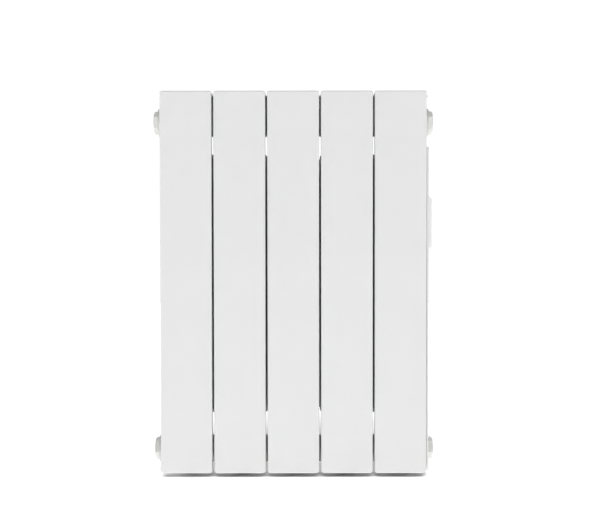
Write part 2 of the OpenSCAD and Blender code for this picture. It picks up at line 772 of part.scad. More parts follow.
module cover_screws() {
    for (p = cover_screw_places)
        translate([face_x - 12.2, p[0], p[1]]) screw_x(12, 1.2, 3.4, 1.3, true);
}

module tray_screws() {
    for (z = boss_z) translate([tray_back_x + wall_t - 5, 0, z]) screw_x(5, 1.2, 3.2, 1.8, false);
}

module board_screws() {
    for (p = power_screws)
        translate([power_board_x - 2.4, p[0], p[1]]) screw_x(2.4 + board_t, 1, 2.1, 1.4, false);
}

// Bimetal disc held against the last section's tube
module overheat_cutout() {
    x = section_x(section_count) + tube_r + 0.1;
    color("#8f6b4a") rod_x(8, x, x + 6, 0, cutout_z);
    color("#1f1f1f") rod_x(6, x + 6, x + 10, 0, cutout_z);
    color(steel) for (s = [-1, 1])
        box([x + 10, s * 4 - 0.4, cutout_z - 3], [x + 15, s * 4 + 0.4, cutout_z + 3]);
}

// Thermistor bead over a small board that stands behind the lower vents
module ambient_sensor() {
    x = end_x - 9;
    y = -12;
    low = tray_low_z + wall_t;
    color("#2f7a4a") box([x - 0.8, y - 6, low], [x + 0.8, y + 6, low + 9]);
    color(steel) for (s = [-1, 1]) translate([x, y + s, low + 8.5]) cylinder(r = 0.4, h = 4);
    color("#3d2c22") translate([x, y, low + 13]) sphere(r = 2.2);
}

// ---------- Assembly ----------

section(1);  // section_1
section(2);  // section_2
section(3);  // section_3
section(4);  // section_4
section(5);  // section_5
tube_cap(1);  // tube_cap_1
tube_cap(2);  // tube_cap_2
tube_cap(3);  // tube_cap_3
tube_cap(4);  // tube_cap_4
tube_cap(5);  // tube_cap_5
nipple(1, upper_axis_z);  // upper_nipple_1
nipple(2, upper_axis_z);  // upper_nipple_2
nipple(3, upper_axis_z);  // upper_nipple_3
nipple(4, upper_axis_z);  // upper_nipple_4
nipple(1, lower_axis_z);  // lower_nipple_1
nipple(2, lower_axis_z);  // lower_nipple_2
nipple(3, lower_axis_z);  // lower_nipple_3
nipple(4, lower_axis_z);  // lower_nipple_4
joint_gaskets(upper_axis_z);  // upper_joint_gaskets
joint_gaskets(lower_axis_z);  // lower_joint_gaskets
plug_gaskets();
blind_plug(-1, upper_axis_z, -5);  // plug_upper_left
blind_plug(-1, lower_axis_z, 18);  // plug_lower_left
blind_plug(1, upper_axis_z, 7);  // plug_upper_right
heater_plug();
heater_element();
heater_terminals();
heater_cap();
heater_lead();
thermal_fluid();
control_tray();
control_cover();
control_bezel();
display_window();
lcd_module();
interface_board();
tact_switches();
power_board();
relay();
transformer();
capacitors();
terminal_block();
fuse();
ribbon_cable();
round_key(0);  // key_power
round_key(1);  // key_mode
round_key(2);  // key_timer
long_key(3);  // key_minus
long_key(4);  // key_plus
rocker();
rocker_housing();
cord_gland();
gland_nut();
cover_screws();
tray_screws();
board_screws();
overheat_cutout();
ambient_sensor();
indicator_lens();
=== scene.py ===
"""Looks of the oil filled radiator heater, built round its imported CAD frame."""

import json
import math

import bmesh
import bpy
from mathutils import Matrix, Vector


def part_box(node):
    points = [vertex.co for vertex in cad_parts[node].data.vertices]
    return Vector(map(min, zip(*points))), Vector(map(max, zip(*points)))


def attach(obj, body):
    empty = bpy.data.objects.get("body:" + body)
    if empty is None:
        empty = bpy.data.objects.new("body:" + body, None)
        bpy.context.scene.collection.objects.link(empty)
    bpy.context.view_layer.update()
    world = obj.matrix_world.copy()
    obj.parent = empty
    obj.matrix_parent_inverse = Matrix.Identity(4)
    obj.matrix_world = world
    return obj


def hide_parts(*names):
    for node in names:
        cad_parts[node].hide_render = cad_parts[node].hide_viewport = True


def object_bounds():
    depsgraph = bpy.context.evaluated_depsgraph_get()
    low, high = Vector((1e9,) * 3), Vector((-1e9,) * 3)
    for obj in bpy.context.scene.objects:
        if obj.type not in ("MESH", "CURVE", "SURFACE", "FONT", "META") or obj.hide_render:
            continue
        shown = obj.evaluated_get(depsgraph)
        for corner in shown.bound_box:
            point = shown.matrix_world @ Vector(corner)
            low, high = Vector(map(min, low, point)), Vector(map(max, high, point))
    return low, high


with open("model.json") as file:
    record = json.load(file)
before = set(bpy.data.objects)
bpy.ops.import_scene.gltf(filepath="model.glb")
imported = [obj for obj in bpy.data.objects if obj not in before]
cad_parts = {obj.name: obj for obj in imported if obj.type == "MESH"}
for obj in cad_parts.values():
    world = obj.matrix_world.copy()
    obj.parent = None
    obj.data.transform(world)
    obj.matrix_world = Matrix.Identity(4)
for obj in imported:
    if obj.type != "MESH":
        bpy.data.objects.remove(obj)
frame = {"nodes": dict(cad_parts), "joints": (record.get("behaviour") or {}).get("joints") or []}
cad_low, cad_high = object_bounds()

MM = 0.001
ROOT = "radiator"


# ---------------------------------------------------------------- places, from the frame


def centre(node):
    """Middle of a CAD node's box."""
    low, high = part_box(node)
    return (low + high) / 2


SECTION_X = [centre(f"tube_cap_{i}").x for i in range(1, 6)]
PITCH = SECTION_X[1] - SECTION_X[0]
SECTION_LOW, SECTION_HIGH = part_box("section_3")
FRONT_Y = SECTION_LOW.y
REAR_Y = SECTION_HIGH.y
TOP_Z = SECTION_HIGH.z
TUBE_LOW_Z = SECTION_LOW.z
HUB_HALF = SECTION_X[2] - SECTION_LOW.x
LAP_REACH = SECTION_HIGH.x - SECTION_X[2]
LOWER_Z = centre("plug_lower_left").z
UPPER_Z = centre("plug_upper_left").z

# Cast section, in metres from its own centre line
PANEL_GAP = 3 * MM
PANEL_HALF = (PITCH - PANEL_GAP) / 2
PANEL_LOW = 7 * MM
PANEL_T = 2.2 * MM
FLANGE_T = 1.6 * MM
FLANGE_DEPTH = 12 * MM
EDGE_R = 2 * MM
LOWER_CORNER_R = 5 * MM
UPPER_CORNER_R = 2.5 * MM
WEB_HALF = 1.3 * MM
FIN_T = 1.6 * MM
FIN_Y = 33 * MM
FRONT_FIN_HALF = PITCH / 2 - 2.6 * MM
REAR_FIN_HALF = PITCH / 2 - 4 * MM
REAR_PLATE_T = 1.8 * MM
REAR_PLATE_HALF = PITCH / 2 - 1.4 * MM
REAR_PLATE_LOW = LOWER_Z + 49 * MM
REAR_PLATE_TOP = UPPER_Z - 42 * MM
HUB_R = 19.6 * MM
COLLAR_R = 21 * MM
COLLAR_W = 8 * MM
TUBE_R = 15 * MM
HOOD_T = 2 * MM
HOOD_LOW_Z = UPPER_Z - 11 * MM
HOOD_FRONT_Y = -24 * MM
HOOD_DEPTH = REAR_Y - 4 * MM - HOOD_FRONT_Y
HOOD_RISE = TOP_Z - HOOD_LOW_Z
HOOD_STEPS = 20
LAP_GAP = 0.6 * MM
LAP_T = 1.6 * MM
BLADE_OFFSETS = (9 * MM, 17 * MM)
BLADE_LOW = TOP_Z - 22 * MM
BLADE_TOP = TOP_Z - 3 * MM
PAD_ROWS = 5
PAD_X = 20 * MM
PAD_R = 4 * MM

# Steps in a rounded corner, and the angle in degrees past which an edge looks sharp
CORNER_STEPS = 6
SHARP_ANGLE = 38


# ---------------------------------------------------------------- meshes


def arc(cx, cy, r, start, end, steps):
    """Points on an arc about (cx, cy), angles in degrees."""
    angles = [math.radians(start + (end - start) * i / steps) for i in range(steps + 1)]
    return [(cx + r * math.cos(a), cy + r * math.sin(a)) for a in angles]


def rounded_rect(x0, x1, y0, y1, r):
    corners = [(x1 - r, y1 - r, 0), (x0 + r, y1 - r, 90), (x0 + r, y0 + r, 180), (x1 - r, y0 + r, 270)]
    return [p for cx, cy, a in corners for p in arc(cx, cy, r, a, a + 90, CORNER_STEPS)]


def place(a, b, t, axis):
    """The point with outline coordinates a, b at distance t along an axis."""
    return {"x": (t, a, b), "y": (a, t, b), "z": (a, b, t)}[axis]


def loft(rings, caps=True, closed=False):
    """Vertices and faces of a skin through rings of equally many points."""
    n = len(rings[0])
    count = len(rings)
    faces = []
    for i in range(count if closed else count - 1):
        j = (i + 1) % count
        faces += [(i * n + k, i * n + (k + 1) % n, j * n + (k + 1) % n, j * n + k) for k in range(n)]
    if caps:
        faces += [tuple(range(n)), tuple(range((count - 1) * n, count * n))]
    return [p for ring in rings for p in ring], faces


def prism(outline, axis, low, high):
    """An outline extruded along an axis."""
    return loft([[place(a, b, t, axis) for a, b in outline] for t in (low, high)])


def revolve(profile, axis, at, segments=64):
    """A profile of (radius, height) points turned about an axis through the point at."""
    rings = []
    for s in range(segments):
        a = 2 * math.pi * s / segments
        ring = []
        for r, h in profile:
            local = Vector(place(r * math.cos(a), r * math.sin(a), h, axis))
            ring.append(tuple(local + Vector(at)))
        rings.append(ring)
    verts, faces = loft(rings, caps=False, closed=True)
    n = len(profile)
    return verts, [f for f in faces if f[0] % n != n - 1]


def evaluated(mesh, modifiers):
    """A new mesh: the given one after modifiers, each (type, settings)."""
    obj = bpy.data.objects.new("work", mesh)
    bpy.context.scene.collection.objects.link(obj)
    for kind, settings in modifiers:
        modifier = obj.modifiers.new(kind.lower(), kind)
        for key, value in settings.items():
            setattr(modifier, key, value)
    depsgraph = bpy.context.evaluated_depsgraph_get()
    result = bpy.data.meshes.new_from_object(obj.evaluated_get(depsgraph))
    bpy.data.objects.remove(obj)
    return result


def solid(shape, bevel=0.0, segments=2, angle=32):
    """A closed mesh from (vertices, faces), its edges rounded."""
    mesh = bpy.data.meshes.new("solid")
    bm = bmesh.new()
    verts = [bm.verts.new(v) for v in shape[0]]
    for face in shape[1]:
        bm.faces.new([verts[i] for i in face])
    bmesh.ops.remove_doubles(bm, verts=bm.verts, dist=1e-7)
    bmesh.ops.recalc_face_normals(bm, faces=bm.faces)
    bm.to_mesh(mesh)
    bm.free()
    if not bevel:
        return mesh
    return evaluated(mesh, [("BEVEL", {
        "width": bevel, "segments": segments, "limit_method": "ANGLE",
        "angle_limit": math.radians(angle), "use_clamp_overlap": True,
    })])


def block(low, high, bevel=0.3 * MM, segments=2):
    outline = [(low[0], low[1]), (high[0], low[1]), (high[0], high[1]), (low[0], high[1])]
    return solid(prism(outline, "z", low[2], high[2]), bevel, segments)


def cylinder(axis, at, r, low, high, bevel=0.3 * MM, segments=48):
    chamfer = [(0, low), (r - bevel, low), (r, low + bevel), (r, high - bevel), (r - bevel, high), (0, high)]
    return solid(revolve(chamfer, axis, at, segments))


def merged(meshes, matrix=None):
    """One mesh that holds several."""
    bm = bmesh.new()
    for mesh in meshes:
        bm.from_mesh(mesh)
    if matrix is not None:
        bmesh.ops.transform(bm, matrix=matrix, verts=bm.verts)
    result = bpy.data.meshes.new("merged")
    bm.to_mesh(result)
    bm.free()
    return result


def smooth(mesh):
    mesh.polygons.foreach_set("use_smooth", [True] * len(mesh.polygons))
    mesh.set_sharp_from_angle(angle=math.radians(SHARP_ANGLE))


def piece(name, mesh, material, body=ROOT, replaces=(), at=(0, 0, 0)):
    """A visible piece of the object, which rides on a body."""
    smooth(mesh)
    obj = bpy.data.objects.new(name, mesh)
    bpy.context.scene.collection.objects.link(obj)
    obj.location = at
    if not mesh.materials:
        mesh.materials.append(material)
    normals = obj.modifiers.new("weighted normals", "WEIGHTED_NORMAL")
    normals.keep_sharp = True
    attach(obj, body)
    if replaces:
        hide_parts(*replaces)
    return obj


# ---------------------------------------------------------------- materials

PEEL_DEPTH = 0.02 * MM
SCRATCH_DEPTH = 0.01 * MM


def node_material(name):
    material = bpy.data.materials.new(name)
    material.use_nodes = True
    nodes = material.node_tree.nodes
    return material, nodes, material.node_tree.links, nodes["Principled BSDF"]


def object_coords(nodes):
    return nodes.new("ShaderNodeTexCoord").outputs["Object"]


def noise(nodes, links, coords, scale, detail=3.0, roughness=0.5):
    """Noise whose scale is in cycles per metre."""
    texture = nodes.new("ShaderNodeTexNoise")
    texture.inputs["Scale"].default_value = scale
    texture.inputs["Detail"].default_value = detail
    texture.inputs["Roughness"].default_value = roughness
    links.new(coords, texture.inputs["Vector"])
    return texture.outputs["Fac"]


def spread(nodes, links, source, low, high, start=0.3, end=0.7):
    """Maps a value's start to end range onto low to high."""
    mapping = nodes.new("ShaderNodeMapRange")
    mapping.inputs["From Min"].default_value = start
    mapping.inputs["From Max"].default_value = end
    mapping.inputs["To Min"].default_value = low
    mapping.inputs["To Max"].default_value = high
    links.new(source, mapping.inputs["Value"])
    return mapping.outputs["Result"]


def two_tones(nodes, links, factor, first, second):
    mix = nodes.new("ShaderNodeMix")
    mix.data_type = "RGBA"
    links.new(factor, mix.inputs["Factor"])
    mix.inputs["A"].default_value = (*first, 1)
    mix.inputs["B"].default_value = (*second, 1)
    return mix.outputs["Result"]


def bump(nodes, links, height, distance, normal=None):
    node = nodes.new("ShaderNodeBump")
    node.inputs["Distance"].default_value = distance
    node.inputs["Strength"].default_value = 1.0
    links.new(height, node.inputs["Height"])
    if normal is not None:
        links.new(normal, node.inputs["Normal"])
    return node.outputs["Normal"]


def coated(name, light, dark, roughness, peel_scale=420):
    """Powder or paint coat: faint cloudiness, orange peel and a fine grain."""
    material, nodes, links, shader = node_material(name)
    coords = object_coords(nodes)
    cloud = spread(nodes, links, noise(nodes, links, coords, 14), 0, 1)
    links.new(two_tones(nodes, links, cloud, light, dark), shader.inputs["Base Color"])
    gloss = noise(nodes, links, coords, 60, 4)
    links.new(spread(nodes, links, gloss, roughness - 0.04, roughness + 0.05), shader.inputs["Roughness"])
    shader.inputs["Specular IOR Level"].default_value = 0.5
    waves = bump(nodes, links, noise(nodes, links, coords, peel_scale, 2), PEEL_DEPTH)
    grain = bump(nodes, links, noise(nodes, links, coords, 2600, 2), PEEL_DEPTH * 0.12, normal=waves)
    links.new(grain, shader.inputs["Normal"])
    return material


def moulded(name, light, dark, roughness, grain_scale=1500, depth=0.015 * MM):
    """Moulded plastic with a spark eroded grain."""
    material, nodes, links, shader = node_material(name)
    coords = object_coords(nodes)
    cloud = spread(nodes, links, noise(nodes, links, coords, 25), 0, 1)
    links.new(two_tones(nodes, links, cloud, light, dark), shader.inputs["Base Color"])
    grain = noise(nodes, links, coords, grain_scale, 4, 0.6)
    links.new(spread(nodes, links, grain, roughness - 0.05, roughness + 0.07), shader.inputs["Roughness"])
    links.new(bump(nodes, links, grain, depth), shader.inputs["Normal"])
    return material


def metal(name, light, dark, roughness, scratch=(300, 300, 40)):
    """Plated or drawn metal with fine scratches, longest along the axis of the smallest scratch scale."""
    material, nodes, links, shader = node_material(name)
    coords = object_coords(nodes)
    shader.inputs["Metallic"].default_value = 1.0
    cloud = spread(nodes, links, noise(nodes, links, coords, 90, 4), 0, 1)
    links.new(two_tones(nodes, links, cloud, light, dark), shader.inputs["Base Color"])
    stretch = nodes.new("ShaderNodeMapping")
    stretch.inputs["Scale"].default_value = scratch
    links.new(coords, stretch.inputs["Vector"])
    lines = noise(nodes, links, stretch.outputs["Vector"], 8, 3)
    links.new(spread(nodes, links, lines, roughness - 0.08, roughness + 0.1), shader.inputs["Roughness"])
    links.new(bump(nodes, links, lines, SCRATCH_DEPTH), shader.inputs["Normal"])
    return material


def smoked_window():
    material, nodes, links, shader = node_material("smoked_window")
    shader.inputs["Base Color"].default_value = (0.3, 0.32, 0.34, 1)
    shader.inputs["Transmission Weight"].default_value = 0.92
    shader.inputs["IOR"].default_value = 1.49
    haze = noise(nodes, links, object_coords(nodes), 200, 4)
    links.new(spread(nodes, links, haze, 0.02, 0.06), shader.inputs["Roughness"])
    return material


def glowing(name, color, strength):
    """A lit sign, slightly uneven over its area."""
    material, nodes, links, shader = node_material(name)
    shader.inputs["Base Color"].default_value = (*color, 1)
    shader.inputs["Emission Color"].default_value = (*color, 1)
    shade = noise(nodes, links, object_coords(nodes), 150)
    links.new(spread(nodes, links, shade, strength * 0.92, strength), shader.inputs["Emission Strength"])
    return material


def liquid():
    material, nodes, links, shader = node_material("oil")
    coords = object_coords(nodes)
    depth = spread(nodes, links, noise(nodes, links, coords, 12), 0, 1)
    links.new(two_tones(nodes, links, depth, (0.55, 0.3, 0.06), (0.46, 0.24, 0.04)),
              shader.inputs["Base Color"])
    shader.inputs["Roughness"].default_value = 0.08
    return material


def printed_board():
    """Green solder mask over faint copper tracks."""
    material, nodes, links, shader = node_material("solder_mask")
    coords = object_coords(nodes)
    cells = nodes.new("ShaderNodeTexVoronoi")
    cells.feature = "DISTANCE_TO_EDGE"
    cells.distance = "CHEBYCHEV"
    cells.inputs["Scale"].default_value = 260
    links.new(coords, cells.inputs["Vector"])
    tracks = spread(nodes, links, cells.outputs["Distance"], 1, 0, 0.04, 0.07)
    links.new(two_tones(nodes, links, tracks, (0.03, 0.16, 0.07), (0.06, 0.27, 0.11)),
              shader.inputs["Base Color"])
    shader.inputs["Roughness"].default_value = 0.32
    links.new(bump(nodes, links, tracks, 0.03 * MM), shader.inputs["Normal"])
    return material


PANEL_COAT = coated("powder_coat", (0.80, 0.805, 0.80), (0.785, 0.79, 0.785), 0.36)
# Painted shade: a mid grey copy of the white coat for the inside of each casting, so that the gaps between
# the panels read dark
PAINTED_SHADE_COAT = coated("painted_shade_coat", (0.45, 0.455, 0.45), (0.42, 0.425, 0.42), 0.5)
PLUG_COAT = coated("plug_coat", (0.78, 0.78, 0.75), (0.75, 0.75, 0.72), 0.4, peel_scale=600)
ZINC = metal("zinc_plate", (0.62, 0.63, 0.66), (0.5, 0.5, 0.52), 0.38)
# Tube caps: plated steel, with a near black colour that paints the contact shadow where the caps stand on the
# floor
CONTACT_SHADOW_PLATE = metal("contact_shadow_plate", (0.14, 0.14, 0.145), (0.1, 0.1, 0.105), 0.55)
STAINLESS = metal("stainless", (0.48, 0.47, 0.46), (0.36, 0.34, 0.33), 0.42, scratch=(30, 400, 400))
BLACK_SEAL = moulded("black_seal", (0.02, 0.02, 0.02), (0.035, 0.035, 0.035), 0.8, 700)
WHITE_SEAL = moulded("white_seal", (0.6, 0.58, 0.52), (0.52, 0.5, 0.44), 0.7, 700)
HOUSING = moulded("housing_white", (0.83, 0.835, 0.83), (0.82, 0.825, 0.82), 0.5)
BEZEL = moulded("bezel_white", (0.86, 0.865, 0.86), (0.85, 0.855, 0.85), 0.35, 1800, 0.004 * MM)
KEY_GREY = moulded("key_grey", (0.42, 0.43, 0.44), (0.4, 0.41, 0.42), 0.4, 1800, 0.006 * MM)
BLACK = moulded("switch_black", (0.015, 0.015, 0.016), (0.022, 0.022, 0.024), 0.35, 1400, 0.008 * MM)
PRINT_WHITE = moulded("print_white", (0.8, 0.8, 0.8), (0.76, 0.76, 0.76), 0.5, 3000, 0.002 * MM)
PRINT_DARK = moulded("print_dark", (0.03, 0.03, 0.035), (0.04, 0.04, 0.045), 0.5, 3000, 0.002 * MM)
LCD = moulded("lcd_glass", (0.02, 0.024, 0.026), (0.026, 0.03, 0.032), 0.15, 900, 0.001 * MM)
AMBER = moulded("amber_lens", (0.75, 0.2, 0.03), (0.65, 0.16, 0.02), 0.15, 900, 0.001 * MM)
DARK_PART = moulded("component_dark", (0.03, 0.035, 0.05), (0.045, 0.05, 0.06), 0.4)
BLUE_PART = moulded("component_blue", (0.03, 0.07, 0.24), (0.035, 0.08, 0.27), 0.4)
GREEN_PART = moulded("terminal_green", (0.05, 0.24, 0.08), (0.06, 0.28, 0.09), 0.45)
CERAMIC = moulded("ceramic", (0.72, 0.67, 0.55), (0.66, 0.6, 0.48), 0.75, 500, 0.03 * MM)
PHENOLIC = moulded("phenolic_brown", (0.12, 0.05, 0.025), (0.09, 0.035, 0.02), 0.5)
BRAID = moulded("silicone_braid", (0.5, 0.48, 0.44), (0.38, 0.36, 0.32), 0.8, 900, 0.08 * MM)
RIBBON = moulded("ribbon_grey", (0.32, 0.33, 0.35), (0.28, 0.29, 0.31), 0.5)
NYLON = moulded("gland_nylon", (0.42, 0.43, 0.44), (0.38, 0.39, 0.4), 0.45)
LAMINATIONS = metal("laminations", (0.1, 0.1, 0.11), (0.06, 0.06, 0.07), 0.5, scratch=(40, 40, 900))
WINDOW = smoked_window()
DISPLAY_LIT = glowing("display_lit", (0.8, 0.93, 1.0), 3.0)
OIL = liquid()
BOARD = printed_board()

NODE_LOOKS = {
    "lower_joint_gaskets": BLACK_SEAL, "upper_joint_gaskets": BLACK_SEAL,
    "plug_gaskets": WHITE_SEAL, "heater_cap": WHITE_SEAL,
    "heater_element": STAINLESS, "heater_terminals": CERAMIC, "heater_lead": BRAID,
    "thermal_fluid": OIL, "lcd_module": LCD, "display_window": WINDOW,
    "interface_board": BOARD, "power_board": BOARD, "tact_switches": DARK_PART,
    "relay": BLUE_PART, "transformer": LAMINATIONS, "capacitors": DARK_PART,
    "terminal_block": GREEN_PART, "ribbon_cable": RIBBON, "rocker": BLACK,
    "rocker_housing": BLACK, "cord_gland": NYLON, "gland_nut": NYLON,
    "overheat_cutout": PHENOLIC, "ambient_sensor": DARK_PART, "indicator_lens": AMBER,
    "control_tray": HOUSING, "control_cover": HOUSING, "control_bezel": BEZEL,
}


def look_of(node):
    if node in NODE_LOOKS:
        return NODE_LOOKS[node]
    if node.startswith("section"):
        return PANEL_COAT
    if node.startswith("plug") or node == "heater_plug":
        return PLUG_COAT
    if node.startswith("key"):
        return KEY_GREY
    # The tube caps take plate painted near black as contact shadow
    if node.startswith("tube_cap"):
        return CONTACT_SHADOW_PLATE
    return ZINC


# Rounding of each CAD node's own edges. The rest keep the chamfers they are drawn with.
ROUNDING = {
    "control_tray": 0.3 * MM,
    "display_window": 0.15 * MM, "rocker_housing": 0.3 * MM, "rocker": 0.35 * MM,
    "key_power": 0.2 * MM, "key_mode": 0.2 * MM, "key_timer": 0.2 * MM,
    "key_minus": 0.2 * MM, "key_plus": 0.2 * MM, "cord_gland": 0.25 * MM, "gland_nut": 0.2 * MM,
    "relay": 0.4 * MM, "transformer": 0.3 * MM, "terminal_block": 0.25 * MM, "lcd_module": 0.2 * MM,
    "power_board": 0.1 * MM, "interface_board": 0.1 * MM, "tact_switches": 0.15 * MM,
    "cover_screws": 0.08 * MM, "tray_screws": 0.08 * MM, "board_screws": 0.08 * MM,
    "overheat_cutout": 0.25 * MM, "ambient_sensor": 0.2 * MM, "heater_cap": 0.15 * MM,
}


def soften(obj, width):
    """Rounds an object's edges and evens out its shading, without a change to its own mesh."""
    weld = obj.modifiers.new("weld", "WELD")
    weld.merge_threshold = 0.004 * MM
    if width:
        planar = obj.modifiers.new("planar", "DECIMATE")
        planar.decimate_type = "DISSOLVE"
        planar.angle_limit = math.radians(1)
        bevel = obj.modifiers.new("bevel", "BEVEL")
        bevel.width = width
        bevel.segments = 2
        bevel.limit_method = "ANGLE"
        bevel.angle_limit = math.radians(35)
        bevel.use_clamp_overlap = False
    else:
        split = obj.modifiers.new("split", "EDGE_SPLIT")
        split.split_angle = math.radians(30)
        split.use_edge_sharp = False
    obj.modifiers.new("weighted normals", "WEIGHTED_NORMAL")


def dress_cad_nodes():
    """Gives each carried-over CAD node its procedural material, and all but the sections soft edges."""
    for name, obj in frame["nodes"].items():
        obj.data.materials.clear()
        obj.data.materials.append(look_of(name))
        if not name.startswith("section"):
            soften(obj, ROUNDING.get(name, 0))


dress_cad_nodes()


# ---------------------------------------------------------------- cast section


def panel_ring(half, front, z):
    """Section of the front panel and its side flanges at one height."""
    back = FRONT_Y + FLANGE_DEPTH
    inner = FRONT_Y + PANEL_T + 0.1 * MM
    tip = FLANGE_T / 2
    fillet = 1.2 * MM
    wall = half - FLANGE_T
    edge = min(EDGE_R, back - front)
    right = arc(half - edge, front + edge, edge, 270, 360, 8)
    right += arc(half - tip, back - tip, tip, 0, 180, 6)
    right += arc(wall - fillet, inner + fillet, fillet, 0, -90, 5)
    left = [(-x, y) for x, y in reversed(right)]
    return [(x, y, z) for x, y in right + left]


def quarter_drop(z, end, radius):
    """How far a rounded end has drawn in at height z, for a rounding that finishes at end."""
    reach = max(0.0, radius - abs(z - end))
    return radius - math.sqrt(radius * radius - reach * reach)


def front_panel():
    """The flat front with its side flanges, rounded at every edge."""
    levels = set()
    for end, sign, radii in ((PANEL_LOW, 1, (LOWER_CORNER_R, EDGE_R)), (TOP_Z, -1, (UPPER_CORNER_R, EDGE_R))):
        for radius in radii:
            for i in range(9):
                levels.add(round(end + sign * radius * (1 - math.cos(math.radians(90 * i / 8))), 7))
    rings = []
    for z in sorted(levels):
        drop = quarter_drop(z, PANEL_LOW, LOWER_CORNER_R) + quarter_drop(z, TOP_Z, UPPER_CORNER_R)
        sink = quarter_drop(z, PANEL_LOW, EDGE_R) + quarter_drop(z, TOP_Z, EDGE_R)
        rings.append(panel_ring(PANEL_HALF - drop, FRONT_Y + sink, z))
    return solid(loft(rings))


def fillet_strip(y_root, y_side, fillet, low, high):
    """A web's flared root, wide where it meets the surface at y_root, along Z."""
    way = 1 if y_side > y_root else -1
    x = WEB_HALF + fillet
    side = [(x - fillet * math.sin(a), y_root + way * fillet * (1 - math.cos(a)))
            for a in (math.radians(90 * i / 6) for i in range(7))]
    outline = [(x, y_root - way * 0.3 * MM)] + side + [(-px, py) for px, py in reversed(side)]
    outline += [(-x, y_root - way * 0.3 * MM)]
    return solid(prism(outline, "z", low, high), 0.2 * MM, 1)


def web(y0, y1, low, high):
    """A flat web in the section's middle plane."""
    return block((-WEB_HALF, y0, low), (WEB_HALF, y1, high), 0.5 * MM, 2)


def fin(y, half, low, high):
    """A flat fin with rounded corners and flared roots on the web."""
    plate = solid(prism(rounded_rect(-half, half, low, high, 9 * MM), "y", y - FIN_T / 2, y + FIN_T / 2),
                  0.55 * MM, 3)
    roots = [fillet_strip(y + s * FIN_T / 2, y + s * 9 * MM, 2.4 * MM, low + 1 * MM, high - 1 * MM)
             for s in (-1, 1)]
    return [plate] + roots


def hood_curve(inset):
    """The hood's quarter ellipse, drawn in by an inset, from its rear end to its top."""
    points = []
    for i in range(HOOD_STEPS + 1):
        a = math.radians(90 * i / HOOD_STEPS)
        points.append((HOOD_FRONT_Y + (HOOD_DEPTH - inset) * math.cos(a),
                       HOOD_LOW_Z + (HOOD_RISE - inset) * math.sin(a)))
    return points


def hood_band(outer, inner, x0, x1, bevel=0.5 * MM):
    """A curved sheet between two insets of the hood's curve."""
    outline = hood_curve(outer) + list(reversed(hood_curve(inner)))
    return solid(prism(outline, "x", x0, x1), bevel, 3, 40)


def hood():
    """The curved top, its lap under the next section's hood, and its rib."""
    lap_in = HOOD_T + LAP_GAP
    rib = [(HOOD_FRONT_Y, HOOD_LOW_Z)] + hood_curve(0.6 * MM)
    return [
        hood_band(0, HOOD_T, -PANEL_HALF, PANEL_HALF, 0.7 * MM),
        hood_band(HOOD_T - 0.3 * MM, lap_in + LAP_T, PANEL_HALF - 3 * MM, PANEL_HALF, 0.2 * MM),
        hood_band(lap_in, lap_in + LAP_T, PANEL_HALF - 2 * MM, LAP_REACH, 0.5 * MM),
        solid(prism(rib, "x", -WEB_HALF, WEB_HALF), 0.3 * MM, 2, 40),
    ]


def rear_panel():
    """The rear plate, its lap behind the next one, and its flared root."""
    inner = REAR_Y - REAR_PLATE_T
    lap = inner - LAP_GAP
    outline = rounded_rect(-REAR_PLATE_HALF, REAR_PLATE_HALF, REAR_PLATE_LOW, REAR_PLATE_TOP, 5 * MM)
    low = REAR_PLATE_LOW + 8 * MM
    high = REAR_PLATE_TOP - 8 * MM
    return [
        solid(prism(outline, "y", inner, REAR_Y), 0.7 * MM, 3),
        block((REAR_PLATE_HALF - 3 * MM, lap - LAP_T, low),
              (REAR_PLATE_HALF - 0.1 * MM, inner + 0.2 * MM, high)),
        block((REAR_PLATE_HALF - 2 * MM, lap - LAP_T, low), (LAP_REACH, lap, high), 0.5 * MM),
        fillet_strip(inner, inner - 9 * MM, 2.4 * MM, REAR_PLATE_LOW + 2 * MM, REAR_PLATE_TOP - 2 * MM),
    ]


def outlet_blades():
    """Two slanted blades behind the upper edge of the front."""
    blades = []
    for offset in BLADE_OFFSETS:
        y = FRONT_Y + offset
        outline = [(y + 1.5 * MM, BLADE_LOW), (y + 3.1 * MM, BLADE_LOW),
                   (y - 1.6 * MM, BLADE_TOP), (y - 3.1 * MM, BLADE_TOP)]
        blades.append(solid(prism(outline, "x", -PANEL_HALF + 1 * MM, PANEL_HALF - 1 * MM), 0.5 * MM, 3))
    return blades


def header_hub(z):
    """Neck and faced collars of one header, turned about X."""
    face = HUB_HALF
    inner = HUB_HALF - COLLAR_W
    turn = 0.5 * MM
    half_profile = [(HUB_R, inner - 2.5 * MM), (HUB_R + 0.3 * MM, inner - 1.2 * MM),
                    (COLLAR_R - 0.2 * MM, inner), (COLLAR_R, inner + 0.6 * MM),
                    (COLLAR_R, face - turn), (COLLAR_R - turn, face), (16 * MM, face)]
    profile = [(r, -x) for r, x in reversed(half_profile)] + half_profile
    return solid(revolve([(0, profile[0][1])] + profile + [(0, profile[-1][1])], "x", (0, 0, z)))


def cast_junction(z, low, high):
    """Hub and tube blended as the casting is: remeshed together and relaxed."""
    reach = HUB_HALF - COLLAR_W - 1 * MM
    hub = cylinder("x", (0, 0, z), HUB_R - 0.1 * MM, -reach, reach, 1 * MM)
    tube = cylinder("z", (0, 0, 0), TUBE_R + 0.15 * MM, low, high, 1 * MM)
    return evaluated(merged([hub, tube]), [
        ("REMESH", {"mode": "VOXEL", "voxel_size": 1.3 * MM, "use_smooth_shade": True}),
        ("SMOOTH", {"factor": 0.5, "iterations": 14}),
    ])


def ejector_marks():
    """Round pads that the die's ejector pins leave on the rear panel."""
    marks = []
    for row in range(PAD_ROWS):
        z = REAR_PLATE_LOW + (0.5 + row) / PAD_ROWS * (REAR_PLATE_TOP - REAR_PLATE_LOW)
        for x in (-PAD_X, PAD_X):
            marks.append(cylinder("y", (x, 0, z), PAD_R, REAR_Y - 1 * MM, REAR_Y + 0.15 * MM, 0.1 * MM, 32))
    return marks


